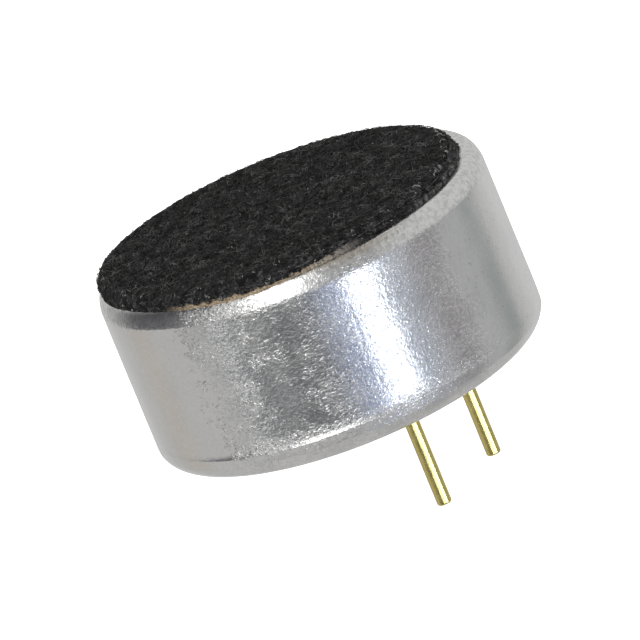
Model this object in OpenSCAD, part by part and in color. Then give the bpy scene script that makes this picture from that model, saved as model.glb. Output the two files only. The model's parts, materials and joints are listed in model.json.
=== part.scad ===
// Electret microphone capsule with two terminal pins, in a drawn and rolled aluminium can.
// Millimetres. The origin is on the can's axis, in the plane of the rolled rear edge that
// seats on a circuit board. +Z points to the sound inlet, and the pins point to -Z.

/* [Can] */
// Outside diameter over the bead
can_d = 9.7; // [9.4:0.05:10.2]
// Height from the rear seat to the front face
can_h = 4.5; // [4:0.1:7]
// Thickness of the sheet
can_wall = 0.3; // [0.25:0.01:0.35]
// Outside radius of the front shoulder
shoulder_r = 0.48; // [0.42:0.02:0.6]
// Outside radius of the rolled rear edge
roll_r = 0.56; // [0.45:0.01:0.7]
// Width of the rolled edge, from the side wall to the rim of the opening
lip_w = 1.03; // [0.85:0.01:1.2]
// How far the bead above the roll stands out from the side wall
bead_out = 0.02; // [0.01:0.01:0.04]
// Height in which the bead runs out into the side wall
bead_run = 0.22; // [0.1:0.02:0.4]
// Diameter of a sound hole in the front
sound_hole_d = 1; // [0.6:0.1:1.2]
// Diameter of the circle of sound holes around the middle one
sound_circle_d = 4; // [3:0.1:4.2]
// Number of sound holes on the circle
sound_hole_count = 6; // [3:1:8]

/* [Dust felt] */
// Diameter of the felt disc
felt_d = 8.84; // [8.4:0.02:9]
// Thickness of the felt
felt_t = 0.28; // [0.2:0.01:0.5]
// How far the felt was stuck off centre, along X
felt_shift_x = -0.25; // [-0.3:0.01:0.3]
// How far the felt was stuck off centre, along Y
felt_shift_y = 0.09; // [-0.3:0.01:0.3]
// Thickness of the adhesive under the felt
adhesive_t = 0.05; // [0.03:0.01:0.1]
// Radial width of the adhesive ring
adhesive_w = 1.2; // [0.6:0.1:1.3]

/* [Diaphragm and back plate] */
// Gap between the can's bore and the stack inside it
stack_gap = 0.1; // [0.06:0.01:0.15]
// Height of the diaphragm's ring
ring_t = 0.45; // [0.3:0.05:0.7]
// Radial width of the diaphragm's ring
ring_w = 0.75; // [0.6:0.05:0.9]
// Thickness of the diaphragm film
film_t = 0.025; // [0.015:0.005:0.05]
// Thickness of the spacer between film and back plate
spacer_t = 0.05; // [0.03:0.01:0.1]
// Thickness of the back plate
plate_t = 0.3; // [0.2:0.05:0.5]
// Diameter of a hole in the back plate
plate_hole_d = 0.7; // [0.4:0.1:1]
// Diameter of the circle of holes in the back plate
plate_circle_d = 4.4; // [3.6:0.1:5]
// Number of holes in the back plate
plate_hole_count = 6; // [3:1:8]
// Thickness of the holder's wall around the back plate
holder_wall = 0.5; // [0.4:0.05:0.6]
// Width of the holder's ledge under the back plate
ledge_w = 0.4; // [0.3:0.05:0.45]
// Thickness of the gate ring's wall
gate_wall = 0.15; // [0.1:0.01:0.2]
// Gap around the back plate and around the gate ring
seat_gap = 0.05; // [0.02:0.01:0.08]

/* [Circuit board] */
// Thickness of the board without its copper
board_t = 0.8; // [0.5:0.1:1]
// Thickness of the copper
copper_t = 0.035; // [0.02:0.005:0.07]
// How far the ground ring stays inside the board's edge
copper_edge = 0.1; // [0.05:0.05:0.2]
// How far the ground ring shows inside the can's rolled edge
ground_show = 0.35; // [0.1:0.05:0.5]
// Width of the spokes from the ground ring to its pin
spoke_w = 0.3; // [0.2:0.05:0.4]
// Angle between neighbouring spokes
spoke_angle = 45; // [40:1:60]
// Width of a track on the inside
track_w = 0.4; // [0.25:0.05:0.5]
// How far the gate land shows inside the gate ring
land_show = 0.08; // [0:0.02:0.1]
// Width of the copper land around a pin's hole
land_w = 0.34; // [0.3:0.02:0.36]

/* [Transistor] */
// Length of the package
fet_l = 2.9; // [2.6:0.1:3.1]
// Width of the package across its middle
fet_w = 1.3; // [1.2:0.05:1.5]
// Height of the package
fet_h = 0.95; // [0.8:0.05:1.1]
// How much narrower the package is at its top and bottom
fet_draft = 0.16; // [0.06:0.02:0.3]
// Gap under the package
fet_lift = 0.05; // [0.02:0.01:0.1]
// Distance from the can's axis to the package's middle
fet_y = 0.5; // [0.4:0.05:0.8]
// Width over the leads' feet
fet_span = 2.4; // [2.2:0.05:2.5]
// Distance between the source and drain leads
fet_pitch = 1.9; // [1.6:0.05:2]
// Width of a lead
lead_w = 0.4; // [0.3:0.02:0.5]
// Thickness of a lead
lead_t = 0.12; // [0.08:0.01:0.16]
// How far a lead comes out of the package before it turns down
lead_out = 0.14; // [0.1:0.01:0.2]
// How far the copper and the solder reach past a lead's foot
foot_land = 0.18; // [0.12:0.02:0.24]

/* [Pins] */
// Distance between the two pins
pin_pitch = 2.54; // [2:0.01:2.7]
// Distance from the line through the pins to the can's edge on that side
pin_edge = 2.77; // [2.65:0.01:3.05]
// Diameter of a pin
pin_d = 0.36; // [0.3:0.01:0.42]
// Length of a pin behind the rear seat
pin_out = 2.74; // [1.5:0.01:6]
// Chamfer on a pin's tip
pin_chamfer = 0.03; // [0.01:0.01:0.08]
// How much thicker a pin's knurled shank is than its free end, on its radius
shank_step = 0.02; // [0.015:0.005:0.04]
// Gap around a pin's shank in the board
hole_gap = 0.02; // [0.01:0.01:0.04]
// Number of flats on a pin's knurled shank
shank_flats = 8; // [6:2:12]
// How far a pin's head stands out around its shank
head_w = 0.16; // [0.1:0.02:0.24]
// Thickness of a pin's head
head_t = 0.12; // [0.08:0.02:0.2]
// Width and height of the solder fillet at a pin
solder_leg = 0.22; // [0.14:0.02:0.24]
// Thickness of the solder at the fillet's two thin edges
solder_edge = 0.03; // [0.02:0.01:0.05]

/* [Hidden] */
$fn = 96;
// How far a cutting body reaches past the faces that it cuts
over = 0.1;

// Radii, from the outside in
can_r = can_d / 2;
wall_r = can_r - bead_out;
bore_r = wall_r - can_wall;
stack_r = bore_r - stack_gap;
lip_r = wall_r - lip_w;
front_bend_r = shoulder_r - can_wall;
ring_r = bore_r - max(stack_gap, front_bend_r);
ring_bore_r = ring_r - ring_w;
plate_r = stack_r - holder_wall - seat_gap;
holder_bore_r = plate_r - ledge_w;
gate_r = holder_bore_r - seat_gap;
gate_bore_r = gate_r - gate_wall;

// Heights of the stack, from the front wall's inside down to the board
front_in_z = can_h - can_wall;
ring_z = front_in_z - ring_t;
film_z = ring_z - film_t;
spacer_z = film_z - spacer_t;
plate_z = spacer_z - plate_t;

// Heights of the board, from the rolled edge's inside up
board_z = can_wall + copper_t;
board_top_z = board_z + board_t;
track_top_z = board_top_z + copper_t;

// Felt
felt_shift = [felt_shift_x, felt_shift_y];
adhesive_r = wall_r - shoulder_r - norm(felt_shift);

// Pins
pin_r = pin_d / 2;
shank_r = pin_r + shank_step;
hole_r = shank_r + hole_gap;
head_r = shank_r + head_w;
land_r = hole_r + land_w;
pin_y = pin_edge - can_r;
ground_at = [-pin_pitch / 2, pin_y];
output_at = [pin_pitch / 2, pin_y];

// Transistor: the ends of its three feet
fet_z = track_top_z + fet_lift;
gate_foot = [0, fet_y + fet_span / 2];
source_foot = [-fet_pitch / 2, fet_y - fet_span / 2];
drain_foot = [fet_pitch / 2, fet_y - fet_span / 2];
foot_l = fet_span / 2 - fet_w / 2 - lead_out;

aluminium = [0.76, 0.77, 0.79];
felt_black = [0.09, 0.09, 0.1];
adhesive_white = [0.85, 0.84, 0.8];
brass = [0.78, 0.66, 0.32];
film_silver = [0.8, 0.8, 0.82];
spacer_clear = [0.78, 0.74, 0.6];
plate_metal = [0.72, 0.68, 0.52];
holder_white = [0.88, 0.87, 0.82];
copper = [0.79, 0.52, 0.3];
board_green = [0.13, 0.33, 0.2];
package_black = [0.12, 0.12, 0.13];
tin = [0.74, 0.75, 0.76];
gold = [0.8, 0.7, 0.32];

// A quarter of a disc
module quarter(r, turn) {
    rotate(turn) intersection() {
        circle(r);
        square(r);
    }
}

// Half section of a round body whose lower and upper edges are rounded
module rounded_section(r, z_low, z_high, low_r, high_r) {
    translate([0, z_low]) square([r - low_r, low_r]);
    translate([0, z_low + low_r]) square([r, z_high - z_low - low_r - high_r]);
    translate([0, z_high - high_r]) square([r - high_r, high_r]);
    translate([r - low_r, z_low + low_r]) quarter(low_r, -90);
    translate([r - high_r, z_high - high_r]) quarter(high_r, 0);
}

// A flat ring that stands on z
module ring(outer_r, inner_r, z, t) {
    translate([0, 0, z]) rotate_extrude()
        translate([inner_r, 0]) square([outer_r - inner_r, t]);
}

// Cuts a round hole through a plate that stands on z and is t thick
module through_hole(at, hole_d, z, t) {
    translate([at.x, at.y, z - over]) cylinder(d = hole_d, h = t + 2 * over);
}

// Cuts holes that are spread evenly on a circle around the axis
module holes_on_circle(count, circle_d, hole_d, z, t) {
    for (i = [0 : count - 1])
        rotate(360 / count * i) through_hole([circle_d / 2, 0], hole_d, z, t);
}

// A straight strip of copper with round ends, in the plane of the board
module strip(from, to, w) {
    along = to - from;
    translate(from) circle(d = w);
    translate(to) circle(d = w);
    translate(from) rotate(atan2(along.y, along.x)) translate([0, -w / 2]) square([norm(along), w]);
}

// Copper land under one foot of the transistor; side is 1 towards +Y and -1 towards -Y
module foot_pad(foot, side) {
    pad_w = lead_w + 2 * foot_land;
    pad_l = foot_l + 2 * foot_land;
    translate([foot.x - pad_w / 2, foot.y + side * (foot_land - pad_l / 2) - pad_l / 2])
        square([pad_w, pad_l]);
}

// Front copper from a transistor foot to the land around a pin
module pin_track(foot, pin_at) {
    translate([0, 0, board_top_z]) linear_extrude(copper_t) difference() {
        union() {
            foot_pad(foot, -1);
            strip(foot, pin_at, track_w);
            translate(pin_at) circle(land_r);
        }
        translate(pin_at) circle(hole_r);
    }
}

// One gull-wing lead in a copy of the package's cross-section, turned to side 1 or -1
module lead(x, side) {
    middle_z = fet_lift + fet_h / 2;
    bend_y = fet_w / 2 + lead_out;
    foot_y = fet_span / 2;
    translate([x - side * lead_w / 2, fet_y, track_top_z])
        rotate([0, 0, side > 0 ? 0 : 180]) rotate([90, 0, 90])
        linear_extrude(lead_w) polygon([
            [fet_w / 2, middle_z - lead_t / 2],
            [bend_y, middle_z - lead_t / 2],
            [bend_y, 0],
            [foot_y, 0],
            [foot_y, lead_t],
            [bend_y + lead_t, lead_t],
            [bend_y + lead_t, middle_z + lead_t / 2],
            [fet_w / 2, middle_z + lead_t / 2]
        ]);
}

// Solder wedge at the toe of one lead
module foot_solder(x, side) {
    foot_y = fet_span / 2;
    translate([x - side * lead_w / 2, fet_y, track_top_z])
        rotate([0, 0, side > 0 ? 0 : 180]) rotate([90, 0, 90])
        linear_extrude(lead_w) polygon([
            [foot_y, 0],
            [foot_y + foot_land / 2, 0],
            [foot_y, lead_t]
        ]);
}

// A terminal pin: head on the inside copper, knurled shank through the board, free end behind the seat
module pin(at) {
    translate(at) {
        translate([0, 0, track_top_z]) cylinder(r = head_r, h = head_t);
        cylinder(r = shank_r, h = track_top_z, $fn = shank_flats);
        translate([0, 0, pin_chamfer - pin_out]) cylinder(r = pin_r, h = pin_out - pin_chamfer);
        translate([0, 0, -pin_out]) cylinder(r1 = pin_r - pin_chamfer, r2 = pin_r, h = pin_chamfer);
    }
}

// Hollow solder fillet between a pin's shank and its rear land
module pin_solder(at) {
    hollow_at = solder_leg + solder_edge;
    translate([at.x, at.y, can_wall]) mirror([0, 0, 1]) rotate_extrude() translate([shank_r, 0])
        difference() {
            square(solder_leg);
            translate([hollow_at, hollow_at]) circle(solder_leg);
        }
}

module can() {
    color(aluminium) difference() {
        rotate_extrude() difference() {
            union() {
                rounded_section(wall_r, 0, can_h, roll_r, shoulder_r);
                polygon([
                    [bore_r, roll_r],
                    [can_r, roll_r],
                    [wall_r, roll_r + bead_run],
                    [bore_r, roll_r + bead_run]
                ]);
            }
            rounded_section(bore_r, can_wall, front_in_z, stack_gap, front_bend_r);
            translate([0, -over]) square([lip_r, can_wall + 2 * over]);
        }
        through_hole([0, 0], sound_hole_d, front_in_z, can_wall);
        holes_on_circle(sound_hole_count, sound_circle_d, sound_hole_d, front_in_z, can_wall);
    }
}

module dust_felt() {
    color(felt_black) translate([felt_shift.x, felt_shift.y, can_h + adhesive_t])
        cylinder(d = felt_d, h = felt_t);
}

module felt_adhesive() {
    color(adhesive_white) translate(felt_shift)
        ring(adhesive_r, adhesive_r - adhesive_w, can_h, adhesive_t);
}

module diaphragm_ring() {
    color(brass) ring(ring_r, ring_bore_r, ring_z, ring_t);
}

module diaphragm_film() {
    color(film_silver) translate([0, 0, film_z]) cylinder(r = ring_r, h = film_t);
}

module spacer_ring() {
    color(spacer_clear) ring(stack_r, ring_bore_r, spacer_z, spacer_t);
}

module back_plate() {
    color(plate_metal) difference() {
        translate([0, 0, plate_z]) cylinder(r = plate_r, h = plate_t);
        holes_on_circle(plate_hole_count, plate_circle_d, plate_hole_d, plate_z, plate_t);
    }
}

module plate_holder() {
    seat_r = plate_r + seat_gap;
    color(holder_white) rotate_extrude() {
        translate([holder_bore_r, board_top_z]) square([stack_r - holder_bore_r, plate_z - board_top_z]);
        translate([seat_r, plate_z]) square([stack_r - seat_r, plate_t]);
    }
}

module gate_ring() {
    color(brass) ring(gate_r, gate_bore_r, track_top_z, plate_z - track_top_z);
}

module circuit_board() {
    color(board_green) difference() {
        translate([0, 0, board_z]) cylinder(r = stack_r, h = board_t);
        for (at = [ground_at, output_at])
            through_hole(at, 2 * hole_r, board_z, board_t);
    }
}

module gate_track() {
    land_r_in = gate_bore_r - land_show;
    land_middle = [0, (gate_r + land_r_in) / 2];
    color(copper) translate([0, 0, board_top_z]) linear_extrude(copper_t) {
        difference() {
            circle(gate_r);
            circle(land_r_in);
        }
        foot_pad(gate_foot, 1);
        strip(gate_foot, land_middle, min(track_w, gate_r - land_r_in));
    }
}

module source_track() {
    color(copper) pin_track(source_foot, ground_at);
}

module drain_track() {
    color(copper) pin_track(drain_foot, output_at);
}

module ground_copper() {
    ring_in_r = lip_r - ground_show;
    pin_angle = atan2(ground_at.y, ground_at.x);
    color(copper) translate([0, 0, can_wall]) linear_extrude(copper_t) difference() {
        union() {
            difference() {
                circle(stack_r - copper_edge);
                circle(ring_in_r);
            }
            translate(ground_at) circle(land_r);
            intersection() {
                circle(lip_r);
                for (i = [-1 : 1])
                    translate(ground_at) rotate(pin_angle + i * spoke_angle)
                        translate([0, -spoke_w / 2]) square([stack_r, spoke_w]);
            }
        }
        translate(ground_at) circle(hole_r);
    }
}

module output_copper() {
    color(copper) translate(output_at) ring(land_r, hole_r, can_wall, copper_t);
}

module jfet_body() {
    flat_w = fet_w - fet_draft;
    color(package_black) translate([-fet_l / 2, fet_y, fet_z]) rotate([90, 0, 90])
        linear_extrude(fet_l) polygon([
            [-flat_w / 2, 0],
            [flat_w / 2, 0],
            [fet_w / 2, fet_h / 2 - lead_t / 2],
            [fet_w / 2, fet_h / 2 + lead_t / 2],
            [flat_w / 2, fet_h],
            [-flat_w / 2, fet_h],
            [-fet_w / 2, fet_h / 2 + lead_t / 2],
            [-fet_w / 2, fet_h / 2 - lead_t / 2]
        ]);
}

module jfet_gate_lead() {
    color(tin) lead(gate_foot.x, 1);
}

module jfet_source_lead() {
    color(tin) lead(source_foot.x, -1);
}

module jfet_drain_lead() {
    color(tin) lead(drain_foot.x, -1);
}

module jfet_solder() {
    color(tin) {
        foot_solder(gate_foot.x, 1);
        foot_solder(source_foot.x, -1);
        foot_solder(drain_foot.x, -1);
    }
}

module ground_pin() {
    color(gold) pin(ground_at);
}

module output_pin() {
    color(gold) pin(output_at);
}

module ground_pin_solder() {
    color(tin) pin_solder(ground_at);
}

module output_pin_solder() {
    color(tin) pin_solder(output_at);
}

can();
dust_felt();
felt_adhesive();
diaphragm_ring();
diaphragm_film();
spacer_ring();
back_plate();
plate_holder();
gate_ring();
circuit_board();
gate_track();
source_track();
drain_track();
ground_copper();
output_copper();
jfet_body();
jfet_gate_lead();
jfet_source_lead();
jfet_drain_lead();
jfet_solder();
ground_pin();
output_pin();
ground_pin_solder();
output_pin_solder();
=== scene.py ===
"""Finish of an electret microphone capsule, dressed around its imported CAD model."""
import json
import math
import random
from collections import namedtuple

import bmesh
import bpy
from mathutils import Matrix, Vector, noise


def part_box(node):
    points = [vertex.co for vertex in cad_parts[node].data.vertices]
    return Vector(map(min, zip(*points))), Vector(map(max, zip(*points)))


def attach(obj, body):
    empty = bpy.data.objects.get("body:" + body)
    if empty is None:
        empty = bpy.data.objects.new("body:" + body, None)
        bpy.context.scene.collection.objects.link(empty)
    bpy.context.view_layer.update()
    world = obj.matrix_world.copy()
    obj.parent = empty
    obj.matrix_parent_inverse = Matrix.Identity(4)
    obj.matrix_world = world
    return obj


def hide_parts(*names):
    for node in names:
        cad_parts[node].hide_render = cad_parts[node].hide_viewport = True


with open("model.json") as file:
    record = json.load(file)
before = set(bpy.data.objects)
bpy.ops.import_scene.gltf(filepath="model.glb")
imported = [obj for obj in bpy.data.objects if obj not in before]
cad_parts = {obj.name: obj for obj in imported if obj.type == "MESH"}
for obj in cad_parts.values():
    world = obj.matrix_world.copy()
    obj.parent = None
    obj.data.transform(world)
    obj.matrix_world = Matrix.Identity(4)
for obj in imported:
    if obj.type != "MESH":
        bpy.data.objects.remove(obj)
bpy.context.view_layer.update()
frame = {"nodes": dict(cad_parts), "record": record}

MM = 0.001
SEED = 9745

# Sizes that the frame gives, in metres
mounts = {m["name"]: m for m in frame["record"]["mounts"]}
can_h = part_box("can")[1].z
felt_low, felt_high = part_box("dust_felt")
board_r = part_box("circuit_board")[1].x
front_in_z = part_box("diaphragm_ring")[1].z
sheet_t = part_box("ground_copper")[0].z
glue_edge_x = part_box("felt_adhesive")[1].x
wall_r = mounts["can_barrel"]["dims"]["r_mm"] * MM
wall_mid_z = mounts["can_barrel"]["pos_m"][2]
wall_half_l = mounts["can_barrel"]["dims"]["length_mm"] * MM / 2
wall_top_z = wall_mid_z + wall_half_l
wall_foot_z = wall_mid_z - wall_half_l
pin_r = mounts["ground_terminal"]["dims"]["r_mm"] * MM
felt_r = (felt_high.x - felt_low.x) / 2
felt_at = (felt_low + felt_high) / 2

# Sizes that follow from those, and the few that the frame doesn't hold
shoulder_h = can_h - wall_top_z
flat_r = wall_r - 0.399 * MM
corner_w = 0.41 * MM
corner_h = 1.05 * MM
corner_full = 3.2
bore_r = wall_r - sheet_t
bend_r = bore_r - board_r
draft = 0.014 * MM
bead_foot_r = wall_r + draft / 2
bead_out = 0.020 * MM
bead_run = 0.16 * MM
crease_z = wall_foot_z - 0.14 * MM
roll_r = crease_z - 0.03 * MM
roll_step = 0.006 * MM
roll_full = 2.25
lip_r = wall_r - 1.03 * MM
lip_edge_r = 0.06 * MM
sound_hole_r = 0.5 * MM
sound_circle_r = 2.0 * MM
sound_hole_count = 6
shank_r = pin_r + 0.02 * MM
felt_top_z = felt_high.z - 0.005 * MM

# The photograph's view: the camera's azimuth and elevation around the can, its roll and its framing
VIEW_AZIMUTH = math.radians(-53.02)
VIEW_ELEVATION = math.radians(16.91)
VIEW_ROLL = math.radians(-22.46)
VIEW_DISTANCE = 200 * MM
FRAME_WIDTH = 14.99 * MM
AIM = Vector((0, 0, 2.25 * MM))
AIM_SHIFT_RIGHT = -0.012 * MM
AIM_SHIFT_DOWN = 0.405 * MM

view_right = Vector((math.cos(VIEW_AZIMUTH), math.sin(VIEW_AZIMUTH), 0))
view_front = Vector((math.sin(VIEW_AZIMUTH), -math.cos(VIEW_AZIMUTH), 0))

# Places around the can's axis
BEAD_AT = math.radians(-158)
BEAD_SPREAD = math.radians(48)
# Where a warm reflection is painted as a tan line on the felt's foot
WARM_REFLECTION_AT = math.radians(-157)
WARM_REFLECTION_SPREAD = math.radians(26)
FRAY_AT = math.radians(-63)
FRAY_SPREAD = math.radians(32)


# Number helpers

def angle_between(a, b):
    """The angle from one direction around an axis to another, without its sign."""
    return abs((a - b + math.pi) % (2 * math.pi) - math.pi)


def bell(off, spread):
    """1 in the middle, and close to 0 at twice the spread."""
    return math.exp(-(off / spread) ** 2)


def octaves(place, layers):
    """The sum of noise at several scales; a layer is its scale and its size."""
    return sum(size * noise.noise(place * scale) for scale, size in layers)


# Mesh helpers

SHARP_ANGLE = math.radians(38)


def mesh_object(name, bm):
    """Turn a bmesh into an object in the scene, with smooth faces that break at sharp edges."""
    bmesh.ops.recalc_face_normals(bm, faces=bm.faces)
    mesh = bpy.data.meshes.new(name)
    bm.to_mesh(mesh)
    bm.free()
    mesh.shade_smooth()
    mesh.set_sharp_from_angle(angle=SHARP_ANGLE)
    obj = bpy.data.objects.new(name, mesh)
    bpy.context.collection.objects.link(obj)
    return obj


def arc(centre, radius, start, end, steps):
    """Points (r, z) on an arc, with its angles in degrees from the r axis."""
    points = []
    for i in range(steps + 1):
        a = math.radians(start + (end - start) * i / steps)
        points.append((centre[0] + radius * math.cos(a), centre[1] + radius * math.sin(a)))
    return points


def full_corner(centre, width, height, fullness, start, end, steps):
    """Points (r, z) on a corner that is fuller than an ellipse, by a power above 2."""
    points = []
    for i in range(steps + 1):
        a = math.radians(start + (end - start) * i / steps)
        c, s = math.cos(a), math.sin(a)
        points.append((centre[0] + width * math.copysign(abs(c) ** (2 / fullness), c),
                       centre[1] + height * math.copysign(abs(s) ** (2 / fullness), s)))
    return points


def line(start, end, steps):
    """Points (r, z) after start, up to end."""
    points = []
    for i in range(1, steps + 1):
        t = i / steps
        points.append((start[0] + (end[0] - start[0]) * t, start[1] + (end[1] - start[1]) * t))
    return points


def add_ring(bm, radius, z, sides, reshape=None, centre=(0, 0)):
    """One ring of vertices; reshape(radius, z, angle) gives the finished radius and z."""
    ring = []
    for i in range(sides):
        a = 2 * math.pi * i / sides
        r, h = reshape(radius, z, a) if reshape else (radius, z)
        ring.append(bm.verts.new((centre[0] + r * math.cos(a), centre[1] + r * math.sin(a), h)))
    return ring


def bridge(bm, ring_a, ring_b):
    """Quads between two rings of equal count."""
    n = len(ring_a)
    for i in range(n):
        j = (i + 1) % n
        bm.faces.new((ring_a[i], ring_a[j], ring_b[j], ring_b[i]))


def cap(bm, ring, tip_place):
    """A fan that closes a ring."""
    tip = bm.verts.new(tip_place)
    n = len(ring)
    for i in range(n):
        bm.faces.new((tip, ring[i], ring[(i + 1) % n]))


def turned(name, profile, sides, reshape, centre):
    """A solid of revolution whose profile starts and ends on the axis."""
    bm = bmesh.new()
    rings = [add_ring(bm, r, z, sides, reshape, centre) for r, z in profile[1:-1]]
    for a, b in zip(rings, rings[1:]):
        bridge(bm, a, b)
    cap(bm, rings[0], (*centre, profile[0][1]))
    cap(bm, rings[-1], (*centre, profile[-1][1]))
    return mesh_object(name, bm)


def loop_edges(bm, ring):
    """The edges around a ring, made where they don't exist yet."""
    edges = []
    for a, b in zip(ring, ring[1:] + ring[:1]):
        edges.append(bm.edges.get((a, b)) or bm.edges.new((a, b)))
    return edges


# Node helpers

class Nodes:
    """A node tree, with short calls to add nodes and link them."""

    def __init__(self, tree):
        self.tree = tree

    def add(self, kind, inputs=None, **settings):
        node = self.tree.nodes.new(kind)
        for key, value in settings.items():
            setattr(node, key, value)
        for key, value in (inputs or {}).items():
            self.feed(node.inputs[key], value)
        return node

    def feed(self, socket, value):
        if isinstance(value, bpy.types.NodeSocket):
            self.tree.links.new(value, socket)
        else:
            socket.default_value = value

    def maths(self, operation, *values):
        return self.add("ShaderNodeMath", dict(enumerate(values)), operation=operation).outputs[0]

    def plus(self, a, b):
        return self.maths("ADD", a, b)

    def minus(self, a, b):
        return self.maths("SUBTRACT", a, b)

    def times(self, a, b):
        return self.maths("MULTIPLY", a, b)

    def larger(self, a, b):
        return self.maths("MAXIMUM", a, b)

    def vector_maths(self, operation, *values):
        """A vector operation's node, for the caller to take its vector or its value."""
        return self.add("ShaderNodeVectorMath", dict(enumerate(values)), operation=operation)

    def spread(self, value, low, high, to_low=0.0, to_high=1.0):
        """Map a range of values to another, with soft ends."""
        node = self.add("ShaderNodeMapRange", {"Value": value, "From Min": low, "From Max": high,
                                               "To Min": to_low, "To Max": to_high})
        node.interpolation_type = "SMOOTHSTEP"
        return node.outputs["Result"]

    def mix(self, share, colour_a, colour_b):
        node = self.add("ShaderNodeMix", data_type="RGBA")
        self.feed(node.inputs["Factor"], share)
        self.feed(node.inputs["A"], colour_a)
        self.feed(node.inputs["B"], colour_b)
        return node.outputs["Result"]


EVEN = (1.0, 1.0, 1.0)
# A pattern of noise: its scale per millimetre, its detail and its roughness.
# A shift and a stretch set it apart from other patterns.
Grain = namedtuple("Grain", "per_mm detail roughness offset stretch", defaults=(None, EVEN))
# A side of the can: the way it faces, and two angles from there in degrees.
# What is on it ends at the first and is full at the second.
Side = namedtuple("Side", "toward ends full")

# The range that most noise lies in
NOISE_RANGE = (0.3, 0.7)
NOISE_MIDDLE = 0.5

# How a second noise cuts curls to pieces: how much finer it is, its shift, and how soft its cuts are
CUT_FINER = 2.1
CUT_OFFSET = 7.3
CUT_SOFT = 0.06
CURL_CORE = 0.25


class Finish(Nodes):
    """A procedural material, in millimetres of the object's own frame."""

    def __init__(self, name):
        self.material = bpy.data.materials.new(name)
        self.material.use_nodes = True
        super().__init__(self.material.node_tree)
        self.bsdf = self.tree.nodes["Principled BSDF"]
        source = self.add("ShaderNodeTexCoord").outputs["Object"]
        scaled = self.add("ShaderNodeVectorMath", {0: source, "Scale": 1 / MM}, operation="SCALE")
        self.place = scaled.outputs["Vector"]

    def shade(self, **inputs):
        """Set the shader's own sockets; underscores in names stand for spaces."""
        for key, value in inputs.items():
            self.feed(self.bsdf.inputs[key.replace("_", " ")], value)

    def noise(self, grain):
        place = self.place
        if grain.offset is not None:
            shift = (grain.offset, 2 * grain.offset, -grain.offset)
            place = self.add("ShaderNodeMapping", {"Vector": self.place, "Location": shift,
                                                   "Scale": grain.stretch}).outputs["Vector"]
        inputs = {"Vector": place, "Scale": grain.per_mm,
                  "Detail": grain.detail, "Roughness": grain.roughness}
        return self.add("ShaderNodeTexNoise", inputs).outputs["Fac"]

    def curls(self, grains, half_width, share):
        """Short curved strokes: level lines of smooth noise, cut to pieces by a second noise."""
        strokes = None
        for grain in grains:
            off = self.maths("ABSOLUTE", self.minus(self.noise(grain), NOISE_MIDDLE))
            stroke = self.spread(off, half_width, CURL_CORE * half_width)
            cutter = grain._replace(per_mm=CUT_FINER * grain.per_mm,
                                    offset=grain.offset + CUT_OFFSET, stretch=EVEN)
            cut = self.spread(self.noise(cutter), share, share + CUT_SOFT)
            stroke = self.times(stroke, cut)
            strokes = stroke if strokes is None else self.larger(strokes, stroke)
        return strokes

    def from_axis(self):
        """The vector from the can's axis to the place."""
        return self.vector_maths("MULTIPLY", self.place, (1.0, 1.0, 0.0)).outputs["Vector"]

    def height(self):
        return self.add("ShaderNodeSeparateXYZ", {"Vector": self.place}).outputs["Z"]

    def over_can(self):
        """Height over the can's front, which falls away past the flat."""
        reach = self.vector_maths("LENGTH", self.from_axis()).outputs["Value"]
        past = self.maths("DIVIDE", self.minus(reach, flat_r / MM), corner_w / MM)
        fallen = self.maths("POWER", self.larger(past, 0.0), corner_full)
        fallen = self.times(fallen, corner_h / MM / corner_full)
        return self.plus(self.minus(self.height(), can_h / MM), fallen)

    def on_side(self, side, wander=None):
        """1 on a side of the can and 0 past its ends, which wander makes uneven."""
        out = self.vector_maths("NORMALIZE", self.from_axis()).outputs["Vector"]
        facing = self.vector_maths("DOT_PRODUCT", out, side.toward).outputs["Value"]
        if wander is not None:
            facing = self.plus(facing, wander)
        return self.spread(facing, math.cos(math.radians(side.ends)), math.cos(math.radians(side.full)))

    def ramp(self, value, *stops):
        node = self.add("ShaderNodeValToRGB", {"Fac": value})
        elements = node.color_ramp.elements
        while len(elements) < len(stops):
            elements.new(0.5)
        for element, (position, colour) in zip(elements, stops):
            element.position = position
            element.color = (*colour, 1.0)
        return node.outputs["Color"]

    def bump(self, height, depth_mm, normal=None):
        inputs = {"Height": height, "Distance": depth_mm * MM, "Strength": 1.0}
        if normal is not None:
            inputs["Normal"] = normal
        return self.add("ShaderNodeBump", inputs).outputs["Normal"]


def dress(node_name, finish):
    """Give a CAD node a finished material."""
    for slot in frame["nodes"][node_name].material_slots:
        slot.material = finish.material


def finish_piece(obj, finish, slot, *replaced):
    """Put a new piece on the part's one body, in place of the CAD nodes that it stands for."""
    obj.data.materials.append(finish.material)
    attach(obj, "root")
    if replaced:
        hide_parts(*replaced)


# Material of the can

CAN_PATCHES = Grain(1.1, 3.0, 0.55)
CAN_MOTTLE = Grain(12.0, 2.0, 0.6)
CAN_PITS = Grain(11.0, 3.0, 0.6)
BEND_PITS = Grain(8.0, 3.0, 0.65, 4.9)
WEAR_EDGE = Grain(2.6, 3.0, 0.7, 1.3)
CLUSTERS = Grain(1.7, 3.0, 0.65, 2.7)
DIMPLES = Grain(15.0, 1.5, 0.5, 6.1, (1.0, 1.0, 1.2))
SPECKS = Grain(10.0, 0.5, 0.5, 11.0, (1.0, 1.0, 1.7))
SCUFFS = Grain(13.0, 2.0, 0.6, 8.8, (1.0, 1.0, 1.6))
NICKS = Grain(9.5, 1.0, 0.5, 13.0)
SCRATCHES = (
    Grain(6.5, 0.0, 0.5, 0.0, (1.0, 1.0, 1.4)),
    Grain(9.0, 0.0, 0.5, 3.1, (1.0, 1.0, 1.4)),
    Grain(12.0, 0.0, 0.5, 5.7, (1.0, 1.0, 1.2)),
    Grain(15.0, 0.0, 0.5, 9.2),
)
SCRATCH_HALF_WIDTH = 0.05
SCRATCH_CUT = 0.61

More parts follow.
